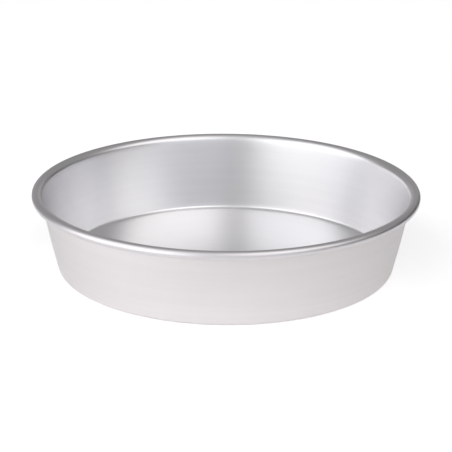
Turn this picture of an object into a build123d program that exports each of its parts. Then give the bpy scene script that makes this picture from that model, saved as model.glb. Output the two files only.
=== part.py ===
from build123d import *
import os
from math import cos, degrees, radians, sin

# Round cake tin: one spun sheet of aluminium with a flat floor, a conical wall that bellies out a
# little, and a rim rolled outwards over a steel wire.
# The origin is at the middle of the underside, +Z is up. Lengths are in millimetres.

# Overall size
rim_diameter = 272.0
tin_height = 56.8

# Sheet and the wall's lean from the vertical, in degrees, at the floor and under the rim
sheet_thickness = 1.0
corner_inside_radius = 2.5
foot_lean = 14.0
top_lean = 9.3

# Rim wire, the clearance round it, and the rolled edge that wraps it
wire_diameter = 4.0
wire_clearance = 0.05
wire_joint_gap = 0.6
lip_gap = 0.35
curl_turn = 255.0

# Turns in degrees
quarter_turn = 90.0
full_turn = 360.0

# Radii of the middle line of the sheet, where it bends
half_sheet = sheet_thickness / 2
wire_radius = wire_diameter / 2
curl_radius = wire_radius + wire_clearance + half_sheet
curl_outer_radius = curl_radius + half_sheet
corner_radius = corner_inside_radius + half_sheet

# The flank joins the wall to the crest of the rim and passes the rolled edge at the lip gap
top_sine = sin(radians(top_lean))
top_cosine = cos(radians(top_lean))
foot_sine = sin(radians(foot_lean))
foot_cosine = cos(radians(foot_lean))
flank_radius = curl_radius + (lip_gap + sheet_thickness) / (1 - top_sine)

# Centre of the wire's section, as a radius from the tin's axis and a height
rim_ring_radius = rim_diameter / 2 - curl_outer_radius
rim_ring_height = tin_height - curl_outer_radius

# The wall is an arc that leaves the corner at the foot lean and meets the flank at the top lean
foot_height = half_sheet + corner_radius * (1 - foot_sine)
wall_top_height = tin_height - half_sheet - flank_radius * (1 - top_sine)
wall_radius = (wall_top_height - foot_height) / (foot_sine - top_sine)

# What is left of the rim's radius inside the flank, the wall and the corner is the flat floor
wall_top_radius = rim_ring_radius - flank_radius * top_cosine
foot_radius = wall_top_radius - wall_radius * (top_cosine - foot_cosine)
floor_radius = foot_radius - corner_radius * foot_cosine


def sheet_face(inward):
    """Draw one face of the sheet, at the distance inward from the sheet's middle line."""
    level = half_sheet + inward
    floor = Line((0, level), (floor_radius, level))
    corner = JernArc(floor @ 1, floor % 1, corner_radius - inward, quarter_turn - foot_lean)
    wall = JernArc(corner @ 1, corner % 1, wall_radius - inward, foot_lean - top_lean)
    flank = JernArc(wall @ 1, wall % 1, flank_radius + inward, top_lean - quarter_turn)
    curl = JernArc(flank @ 1, flank % 1, curl_radius + inward, -curl_turn)
    return floor @ 0, curl @ 1


# Shell: floor, corner, wall and rolled edge are one sheet, turned about the axis
with BuildPart() as tin_shell:
    with BuildSketch(Plane.XZ):
        with BuildLine():
            inside_centre, inside_edge = sheet_face(half_sheet)
            under_centre, under_edge = sheet_face(-half_sheet)
            Line(inside_centre, under_centre)
            Line(inside_edge, under_edge)
        make_face()
    revolve(axis=Axis.Z)

# Wire: a hoop inside the rolled edge, with its two cut ends a small gap apart at the back
joint_turn = degrees(wire_joint_gap / rim_ring_radius)
with BuildPart() as rim_wire:
    with BuildSketch(Plane.YZ):
        with Locations((rim_ring_radius, rim_ring_height)):
            Circle(wire_radius)
    revolve(axis=Axis.Z, revolution_arc=full_turn - joint_turn)

os.makedirs("parts", exist_ok=True)
tin_shell.part.label = "tin_shell"
export_step(tin_shell.part, "parts/tin_shell.step")
rim_wire.part.label = "rim_wire"
export_step(rim_wire.part, "parts/rim_wire.step")
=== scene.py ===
from math import cos, pi, radians, sin

import bpy
import numpy as np
from mathutils import Matrix, Vector


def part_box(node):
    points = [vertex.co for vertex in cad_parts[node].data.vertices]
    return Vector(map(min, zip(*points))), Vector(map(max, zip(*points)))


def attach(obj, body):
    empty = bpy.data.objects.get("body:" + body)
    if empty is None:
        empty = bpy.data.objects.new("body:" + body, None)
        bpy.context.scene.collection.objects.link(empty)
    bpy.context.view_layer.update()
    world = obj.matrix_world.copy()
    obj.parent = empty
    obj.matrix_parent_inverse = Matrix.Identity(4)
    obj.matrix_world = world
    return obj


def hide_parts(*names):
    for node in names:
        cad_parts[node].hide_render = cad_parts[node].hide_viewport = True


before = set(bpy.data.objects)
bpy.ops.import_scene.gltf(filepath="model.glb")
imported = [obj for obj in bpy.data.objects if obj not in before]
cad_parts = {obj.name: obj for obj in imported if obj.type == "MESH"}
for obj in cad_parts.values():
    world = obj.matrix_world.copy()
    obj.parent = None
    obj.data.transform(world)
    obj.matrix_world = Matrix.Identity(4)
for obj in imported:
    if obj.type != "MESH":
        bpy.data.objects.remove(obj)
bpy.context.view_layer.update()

# Lengths are in metres. The rim's radius and the tin's height come from the frame.
MM = 0.001
shell_low, shell_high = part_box("tin_shell")
RIM_RADIUS = shell_high[0]
TIN_HEIGHT = shell_high[2]

# Sheet, the corner's radius, and the wall's lean from the vertical at the floor and under the rim
SHEET = 1.0 * MM
CORNER_INSIDE_RADIUS = 2.5 * MM
FOOT_LEAN = radians(14.0)
TOP_LEAN = radians(9.3)

# Rim wire, the edge rolled round it and the rounding of the sheet's cut edge
WIRE_RADIUS = 2.0 * MM
WIRE_CLEARANCE = 0.05 * MM
LIP_GAP = 0.35 * MM
CURL_TURN = radians(255.0)
EDGE_RADIUS = 0.2 * MM

# Grid of the shell: columns round the tin, steps on the floor, the wall and the cut edge, the largest turn
# of a step on a bend and the fewest steps that a bend gets
COLUMNS = 512
FLOOR_STEPS = 18
WALL_STEPS = 16
EDGE_STEPS = 3
BEND_STEP = radians(9.0)
FEWEST_BEND_STEPS = 4

# The photograph's view: elevation, roll, distance, the point looked at and the lens
VIEW_ELEVATION = radians(19.33)
VIEW_ROLL = radians(0.38)
VIEW_DISTANCE = 1110.6 * MM
LOOK_AT = Vector((0.1 * MM, 0.0, 26.9 * MM))
SENSOR_MM = 36.0
LENS_MM = 124.7

# Finish of the sheet: reflected colour and roughness, inside the tin, outside it and on the rolled rim, and
# how far a highlight is stretched and which way, as the shader counts it
INSIDE_COLOUR = (0.872, 0.864, 0.873)
OUTSIDE_COLOUR = (0.824, 0.796, 0.797)
RIM_COLOUR = (0.760, 0.737, 0.753)
INSIDE_ROUGHNESS = 0.31
OUTSIDE_ROUGHNESS = 0.50
RIM_ROUGHNESS = 0.38
STRETCH = 0.35
STRETCH_TURN = 0.25

# Marks on the sheet: noise cells per metre, the noise's detail, and its weight in roughness and brightness.
# Then the depth of the lines, the marks' pace round the tin against that along the sheet, and the step
# that sets the outer face's marks apart from the inside's.
MARKS = {
    "lines": (1400.0, 1.0, 0.04, 0.04),
    "bands": (220.0, 2.0, 0.03, 0.05),
    "clouds": (28.0, 3.0, 0.03, 0.03),
}
LINE_DEPTH = 0.001 * MM
PACE_ROUND = 0.012
OUTER_SHIFT = 0.5

# Finish of the wire: colour, roughness, how much its lines change that, and their cells per metre and detail
STEEL_COLOUR = (0.56, 0.56, 0.57)
STEEL_ROUGHNESS = 0.32
STEEL_LINE_WEIGHT = 0.2
STEEL_LINES = (2500.0, 2.0)
STEEL_PACE = 0.02

# Soft lamps: their left, right, lowest and highest edge in degrees, and their light in red, green and blue.
# Azimuth is 0 behind the camera, grows to the right of the picture, and is 180 behind the tin. The overhead
# lamp's 400 degrees go all the way round. The black card keeps the room's light away at the right.
LAMPS = {
    "tall left": ((-100, -15, -20, 62), (1.02, 1.03, 1.05)),
    "low left": ((-100, -27, -20, 21), (0.62, 0.62, 0.63)),
    "high right": ((1, 87, 24, 74), (1.09, 1.08, 1.07)),
    "over the camera": ((-5, 46, -2, 26), (0.48, 0.50, 0.56)),
    "back left": ((160, 205, 2, 12), (0.25, 0.25, 0.25)),
    "overhead": ((-200, 200, 68, 95), (0.18, 0.18, 0.18)),
}
BLACK_CARD = (68, 150, -18, 11)
ROOM_LIGHT = (0.29, 0.29, 0.29)
LAMP_SOFT_SIDES = radians(14.0)
LAMP_SOFT_TOP = radians(4.0)

# Table: its round top lies just under the tin. The lifts are light of its own, for the camera and in metal.
TABLE_RADIUS = 450 * MM
TABLE_CORNERS = 256
TABLE_DROP = 0.02 * MM
TABLE_COLOUR = (0.97, 0.97, 0.97)
TABLE_ROUGHNESS = 0.9
TABLE_LIFT = 0.40
TABLE_LIFT_IN_METAL = 0.14
WHITE = (1, 1, 1, 1)


def arc(centre, radius, start, end, steps):
    """Points of an arc: the centre plus the radius times (cos, sin) of evenly spaced angles."""
    turn = np.linspace(start, end, steps + 1)
    return np.stack([centre[0] + radius * np.cos(turn), centre[1] + radius * np.sin(turn)], 1)


def steps_for(turn):
    """How many chords a bend of that turn gets."""
    return max(FEWEST_BEND_STEPS, int(np.ceil(abs(turn) / BEND_STEP)))


def round_angles(count):
    """That many evenly spaced angles all round: 2 pi j / count."""
    return np.arange(count) * (2 * pi / count)


def sheet_face(inward):
    """One face of the sheet, from the axis to the rolled edge: (radius, height) points and share of rim.

    The middle line of the sheet runs flat, turns up at the corner, follows the wall as an arc from the
    foot lean to the top lean, turns out over the flank and rolls round the wire. A face is the same
    run of arcs about the same centres, with each radius changed by the distance inward. The floor's
    rows close up towards the corner, as the sine of evenly spaced angles. The share of rim is 0 up to the
    wall's top, grows evenly over the flank and is 1 on the roll.
    """
    half = SHEET / 2
    curl = WIRE_RADIUS + WIRE_CLEARANCE + half
    flank = curl + (LIP_GAP + SHEET) / (1 - sin(TOP_LEAN))
    corner = CORNER_INSIDE_RADIUS + half
    ring = RIM_RADIUS - curl - half
    foot_height = half + corner * (1 - sin(FOOT_LEAN))
    top_height = TIN_HEIGHT - half - flank * (1 - sin(TOP_LEAN))
    wall = (top_height - foot_height) / (sin(FOOT_LEAN) - sin(TOP_LEAN))
    top_radius = ring - flank * cos(TOP_LEAN)
    foot_radius = top_radius - wall * (cos(TOP_LEAN) - cos(FOOT_LEAN))
    floor_radius = foot_radius - corner * cos(FOOT_LEAN)
    wall_centre = (top_radius - wall * cos(TOP_LEAN), top_height + wall * sin(TOP_LEAN))
    corner_centre = (floor_radius, half + corner)
    flank_centre = (ring, TIN_HEIGHT - half - flank)
    curl_centre = (ring, TIN_HEIGHT - half - curl)
    quarter = pi / 2
    closing = np.sin(np.linspace(0, quarter, FLOOR_STEPS + 1))
    floor = np.stack([floor_radius * closing, np.full(FLOOR_STEPS + 1, half + inward)], 1)
    runs = [
        floor[:-1],
        arc(corner_centre, corner - inward, -quarter, -FOOT_LEAN, steps_for(quarter - FOOT_LEAN)),
        arc(wall_centre, wall - inward, -FOOT_LEAN, -TOP_LEAN, WALL_STEPS)[1:-1],
        arc(flank_centre, flank + inward, pi - TOP_LEAN, quarter, steps_for(quarter - TOP_LEAN))[:-1],
        arc(curl_centre, curl + inward, quarter, quarter - CURL_TURN, steps_for(CURL_TURN)),
    ]
    flat, bend, side, over, rolled = (len(run) for run in runs)
    rim = np.concatenate([np.zeros(flat + bend + side), np.linspace(0, 1, over), np.ones(rolled)])
    return np.concatenate(runs), rim


def cut_edge(inside, under):
    """The end of the sheet: its corners are rounded with EDGE_RADIUS, by quarter arcs between the faces."""
    across = inside[-1] - under[-1]
    across = across / np.hypot(*across)
    ahead = np.array([across[1], -across[0]])
    if np.dot(ahead, inside[-1] - inside[-2]) < 0:
        ahead = -ahead
    turn = np.linspace(0, pi / 2, EDGE_STEPS + 1)[:, None]
    first = inside[-1] - across * EDGE_RADIUS - ahead * EDGE_RADIUS
    second = under[-1] + across * EDGE_RADIUS - ahead * EDGE_RADIUS
    rounds = [
        first + EDGE_RADIUS * (across * np.cos(turn) + ahead * np.sin(turn)),
        second + EDGE_RADIUS * (ahead * np.cos(turn) - across * np.sin(turn)),
    ]
    return np.concatenate(rounds)


def along(face):
    """How far each point of a face lies from the axis, measured along the sheet."""
    steps = np.hypot(*np.diff(face, axis=0).T)
    return np.concatenate([[0.0], np.cumsum(steps)])


def new_piece(name, verts, faces):
    """An object at the origin with a mesh of these vertices and faces."""
    mesh = bpy.data.meshes.new(name)
    mesh.from_pydata(verts.tolist(), [], faces)
    piece = bpy.data.objects.new(name, mesh)
    bpy.context.scene.collection.objects.link(piece)
    return piece


def spin(name, section, marks, columns):
    """A piece made of the section turned about the Z axis, with one vertex at each end on the axis.

    Vertex (row i, column j) is at (r_i cos t_j, r_i sin t_j, z_i) with t_j = 2 pi j / columns. The rows
    between the two ends make rings of quads, and the ends close with triangles. marks holds values for
    each row of the section, and each is kept as a point attribute under its name.
    """
    rows = section[1:-1]
    count = len(rows)
    turn = round_angles(columns)
    ring_x = rows[:, :1] * np.cos(turn)
    ring_y = rows[:, :1] * np.sin(turn)
    ring_z = np.broadcast_to(rows[:, 1:], ring_x.shape)
    grid = np.stack([ring_x, ring_y, ring_z], 2).reshape(-1, 3)
    poles = np.array([[0, 0, section[0, 1]], [0, 0, section[-1, 1]]])
    index = np.arange(count * columns).reshape(count, columns)
    after = np.roll(index, -1, 1)
    quads = np.stack([index[:-1], index[1:], after[1:], after[:-1]], 2).reshape(-1, 4)
    first_pole = np.full(columns, count * columns)
    last_pole = first_pole + 1
    first_cap = np.stack([index[0], after[0], first_pole], 1)
    last_cap = np.stack([after[-1], index[-1], last_pole], 1)
    faces = quads.tolist() + first_cap.tolist() + last_cap.tolist()
    piece = new_piece(name, np.concatenate([grid, poles]), faces)
    mesh = piece.data
    for label, values in marks.items():
        spread = np.concatenate([np.repeat(values[1:-1], columns), [values[0], values[-1]]])
        kept = mesh.attributes.new(label, "FLOAT", "POINT")
        kept.data.foreach_set("value", spread.astype(np.float32))
    mesh.polygons.foreach_set("use_smooth", np.ones(len(mesh.polygons), bool))
    mesh.update()
    return piece


def shell():
    """The tin's one sheet: its inside face out to the rolled edge, and its outer face back to the axis.

    Three values go with each row of points: 1 on the outer face and the cut edge, the share of rim, and
    the distance from the axis along the sheet.
    """
    inside, rim_share = sheet_face(SHEET / 2)
    under, _ = sheet_face(-SHEET / 2)
    edge = cut_edge(inside, under)
    keep_inside = inside[:-1]
    keep_under = under[:-1]
    section = np.concatenate([keep_inside, edge, keep_under[::-1]])
    edge_distance = np.full(len(edge), along(under)[-1])
    distance = np.concatenate([along(keep_inside), edge_distance, along(keep_under)[::-1]])
    outside = np.concatenate([np.zeros(len(keep_inside)), np.ones(len(edge) + len(keep_under))])
    rim = np.concatenate([rim_share[:-1], np.ones(len(edge)), np.zeros(len(keep_under))])
    marks = {"outer_finish": outside, "rim_finish": rim, "along_sheet": distance}
    return spin("spun_shell", section, marks, COLUMNS)


def new_metal(name):
    """A metal material, its node tree and its shader."""
    material = bpy.data.materials.new(name)
    material.use_nodes = True
    shader = material.node_tree.nodes["Principled BSDF"]
    shader.inputs["Metallic"].default_value = 1.0
    return material, material.node_tree, shader


def feed(tree, socket, value):
    """Gives a socket a number or a colour, or a link from another socket."""
    if isinstance(value, (int, float, tuple)):
        socket.default_value = value
    else:
        tree.links.new(value, socket)


def calc(tree, operation, first, second=0.0, third=0.0):
    """One Math node; each of its inputs is a socket or a number."""
    node = tree.nodes.new("ShaderNodeMath")
    node.operation = operation
    for socket, value in zip(node.inputs, (first, second, third)):
        feed(tree, socket, value)
    return node.outputs[0]


def join(tree, x, y, z):
    """Three values as one vector."""
    node = tree.nodes.new("ShaderNodeCombineXYZ")
    for socket, value in zip(node.inputs, (x, y, z)):
        feed(tree, socket, value)
    return node.outputs[0]


def blend(tree, kind, share, first, second):
    """The first value or colour where the share is 0 and the second where it is 1."""
    node = tree.nodes.new("ShaderNodeMix")
    node.data_type = kind
    tree.links.new(share, node.inputs["Factor"])
    ends = [socket for socket in node.inputs if socket.enabled and socket.name in ("A", "B")]
    for socket, value in zip(ends, (first, second)):
        feed(tree, socket, value)
    return next(socket for socket in node.outputs if socket.enabled)


def coordinates(tree, kind):
    """Coordinates of that kind, and their x, y and z."""
    place = tree.nodes.new("ShaderNodeTexCoord").outputs[kind]
    split = tree.nodes.new("ShaderNodeSeparateXYZ")
    tree.links.new(place, split.inputs[0])
    return place, *split.outputs


def attribute(tree, label):
    """A value kept on the mesh."""
    node = tree.nodes.new("ShaderNodeAttribute")
    node.attribute_name = label
    return node.outputs["Fac"]


def noise(tree, place, cells, detail):
    """Noise about 0, mostly within a quarter either way."""
    node = tree.nodes.new("ShaderNodeTexNoise")
    node.inputs["Scale"].default_value = cells
    node.inputs["Detail"].default_value = detail
    tree.links.new(place, node.inputs["Vector"])
    return calc(tree, "SUBTRACT", node.outputs["Fac"], 0.5)


def spun_aluminium():
    """Satin aluminium with the marks of spinning, which run round the tin.

    Lines and bands are noise at (x, y) times PACE_ROUND and the distance along the sheet, so they change
    fast along the sheet and slowly round it. OUTER_SHIFT keeps the outer face's marks from repeating the
    inside's. Clouds from handling are plain noise. All three move the roughness and the brightness, and
    the lines also a shallow bump. The tangent (-y, x, 0) runs round the tin, so that a highlight stretches
    across the marks.
    """
    material, tree, shader = new_metal("satin_aluminium")
    shader.inputs["Anisotropic"].default_value = STRETCH
    shader.inputs["Anisotropic Rotation"].default_value = STRETCH_TURN
    place, x, y, _ = coordinates(tree, "Object")
    tree.links.new(join(tree, calc(tree, "MULTIPLY", y, -1.0), x, 0.0), shader.inputs["Tangent"])

    distance = attribute(tree, "along_sheet")
    outside = attribute(tree, "outer_finish")
    rim = attribute(tree, "rim_finish")
    slow_x = calc(tree, "MULTIPLY", x, PACE_ROUND)
    slow_y = calc(tree, "MULTIPLY", y, PACE_ROUND)
    ringed = join(tree, slow_x, slow_y, calc(tree, "MULTIPLY_ADD", outside, OUTER_SHIFT, distance))

    rough = blend(tree, "FLOAT", outside, INSIDE_ROUGHNESS, OUTSIDE_ROUGHNESS)
    rough = blend(tree, "FLOAT", rim, rough, RIM_ROUGHNESS)
    light = 1.0
    marks = {}
    for name, (cells, detail, roughness_weight, light_weight) in MARKS.items():
        marks[name] = noise(tree, place if name == "clouds" else ringed, cells, detail)
        rough = calc(tree, "MULTIPLY_ADD", marks[name], roughness_weight, rough)
        light = calc(tree, "MULTIPLY_ADD", marks[name], light_weight, light)
    tree.links.new(rough, shader.inputs["Roughness"])

    tone = blend(tree, "RGBA", outside, (*INSIDE_COLOUR, 1), (*OUTSIDE_COLOUR, 1))
    tone = blend(tree, "RGBA", rim, tone, (*RIM_COLOUR, 1))
    shade = tree.nodes.new("ShaderNodeVectorMath")
    shade.operation = "SCALE"
    tree.links.new(tone, shade.inputs[0])
    tree.links.new(light, shade.inputs["Scale"])
    tree.links.new(shade.outputs[0], shader.inputs["Base Color"])

    bump = tree.nodes.new("ShaderNodeBump")
    bump.inputs["Strength"].default_value = 1.0
    bump.inputs["Distance"].default_value = LINE_DEPTH
    tree.links.new(marks["lines"], bump.inputs["Height"])
    tree.links.new(bump.outputs[0], shader.inputs["Normal"])
    return material


def drawn_steel():
    """Bright steel wire with faint lines from the die, which run along it.

    The lines are noise at (x times STEEL_PACE, distance from the axis, height).
    """
    material, tree, shader = new_metal("drawn_steel")
    shader.inputs["Base Color"].default_value = (*STEEL_COLOUR, 1)
    _, x, y, z = coordinates(tree, "Object")
    radius = calc(tree, "SQRT", calc(tree, "MULTIPLY_ADD", x, x, calc(tree, "MULTIPLY", y, y)))
    ringed = join(tree, calc(tree, "MULTIPLY", x, STEEL_PACE), radius, z)
    lines = noise(tree, ringed, *STEEL_LINES)
    rough = calc(tree, "MULTIPLY_ADD", lines, STEEL_LINE_WEIGHT, STEEL_ROUGHNESS)
    tree.links.new(rough, shader.inputs["Roughness"])
    return material


def table():
    """A plain white round table top just under the tin, which keeps the tin's shadow.

    Its rim is at (TABLE_RADIUS cos t, TABLE_RADIUS sin t). The top is lifted to white for the camera and
    through glass, and by less where metal reflects it.
    """
    turn = round_angles(TABLE_CORNERS)
    low = np.full(TABLE_CORNERS, -TABLE_DROP)
    rim = np.stack([TABLE_RADIUS * np.cos(turn), TABLE_RADIUS * np.sin(turn), low], 1)
    piece = new_piece("table", rim, [list(range(TABLE_CORNERS))])
    material = bpy.data.materials.new("white_table")
    material.use_nodes = True
    tree = material.node_tree
    shader = tree.nodes["Principled BSDF"]
    shader.inputs["Base Color"].default_value = (*TABLE_COLOUR, 1)
    shader.inputs["Roughness"].default_value = TABLE_ROUGHNESS
    shader.inputs["Emission Color"].default_value = WHITE
    rays = tree.nodes.new("ShaderNodeLightPath")
    direct = calc(tree, "MAXIMUM", rays.outputs["Is Camera Ray"], rays.outputs["Is Transmission Ray"])
    lift = calc(tree, "MULTIPLY", rays.outputs["Is Glossy Ray"], TABLE_LIFT_IN_METAL)
    lift = calc(tree, "MULTIPLY_ADD", direct, TABLE_LIFT, lift)
    tree.links.new(lift, shader.inputs["Emission Strength"])
    piece.data.materials.append(material)


def camera():
    """The photograph's view of the tin, from in front and above."""
    data = bpy.data.cameras.new("camera")
    data.sensor_width = SENSOR_MM
    data.lens = LENS_MM
    rig = bpy.data.objects.new("camera", data)
    bpy.context.scene.collection.objects.link(rig)
    back = Vector((0, -cos(VIEW_ELEVATION), sin(VIEW_ELEVATION)))
    rig.location = LOOK_AT + back * VIEW_DISTANCE
    turn = (-back).to_track_quat("-Z", "Y").to_matrix()
    rig.rotation_euler = (turn @ Matrix.Rotation(VIEW_ROLL, 3, "Z")).to_euler()
    bpy.context.scene.camera = rig


def window(tree, angle, first, last, softness):
    """1 between two angles and 0 outside them, with a smooth step of twice the softness at each."""
    away = calc(tree, "SUBTRACT", angle, (first + last) / 2)
    away = calc(tree, "ABSOLUTE", calc(tree, "WRAP", away, pi, -pi))
    node = tree.nodes.new("ShaderNodeMapRange")
    node.interpolation_type = "SMOOTHSTEP"
    tree.links.new(away, node.inputs["Value"])
    node.inputs["From Min"].default_value = (last - first) / 2 - softness
    node.inputs["From Max"].default_value = (last - first) / 2 + softness
    node.inputs["To Min"].default_value = 1.0
    node.inputs["To Max"].default_value = 0.0
    return node.outputs[0]


def panel(tree, azimuth, elevation, edges):
    """1 on a panel between its left, right, lowest and highest edge, and 0 off it, with soft edges."""
    left, right, lowest, highest = (radians(edge) for edge in edges)
    across = window(tree, azimuth, left, right, LAMP_SOFT_SIDES)
    upright = window(tree, elevation, lowest, highest, LAMP_SOFT_TOP)
    return calc(tree, "MULTIPLY", across, upright)


def add_light(tree, share, colour, light=(0.0, 0.0, 0.0)):
    """The light so far plus the share of a colour."""
    node = tree.nodes.new("ShaderNodeVectorMath")
    node.operation = "MULTIPLY_ADD"
    tree.links.new(share, node.inputs[0])
    node.inputs[1].default_value = colour
    feed(tree, node.inputs[2], light)
    return node.outputs[0]


def studio():
    """Large soft lamps round the tin, a dimmer room, and a black card at the right of the picture.

    Each lamp is a panel in azimuth atan2(x, -y) and elevation asin(z), with soft edges. The camera sees
    white instead.
    """
    sky = bpy.data.worlds.new("studio")
    bpy.context.scene.world = sky
    sky.use_nodes = True
    tree = sky.node_tree
    _, x, y, z = coordinates(tree, "Generated")
    azimuth = calc(tree, "ARCTAN2", x, calc(tree, "MULTIPLY", y, -1.0))
    elevation = calc(tree, "ARCSINE", z)
    card = panel(tree, azimuth, elevation, BLACK_CARD)
    light = add_light(tree, calc(tree, "SUBTRACT", 1.0, card), ROOM_LIGHT)
    for edges, colour in LAMPS.values():
        light = add_light(tree, panel(tree, azimuth, elevation, edges), colour, light)
    seen = tree.nodes.new("ShaderNodeLightPath").outputs["Is Camera Ray"]
    light = blend(tree, "RGBA", seen, light, WHITE)
    tree.links.new(light, tree.nodes["Background"].inputs["Color"])


tin = shell()
tin.data.materials.append(spun_aluminium())
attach(tin, "root")
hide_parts("tin_shell")

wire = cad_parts["rim_wire"]
wire.data.materials.clear()
wire.data.materials.append(drawn_steel())

table()
camera()
studio()
bpy.context.scene.view_settings.view_transform = "Standard"
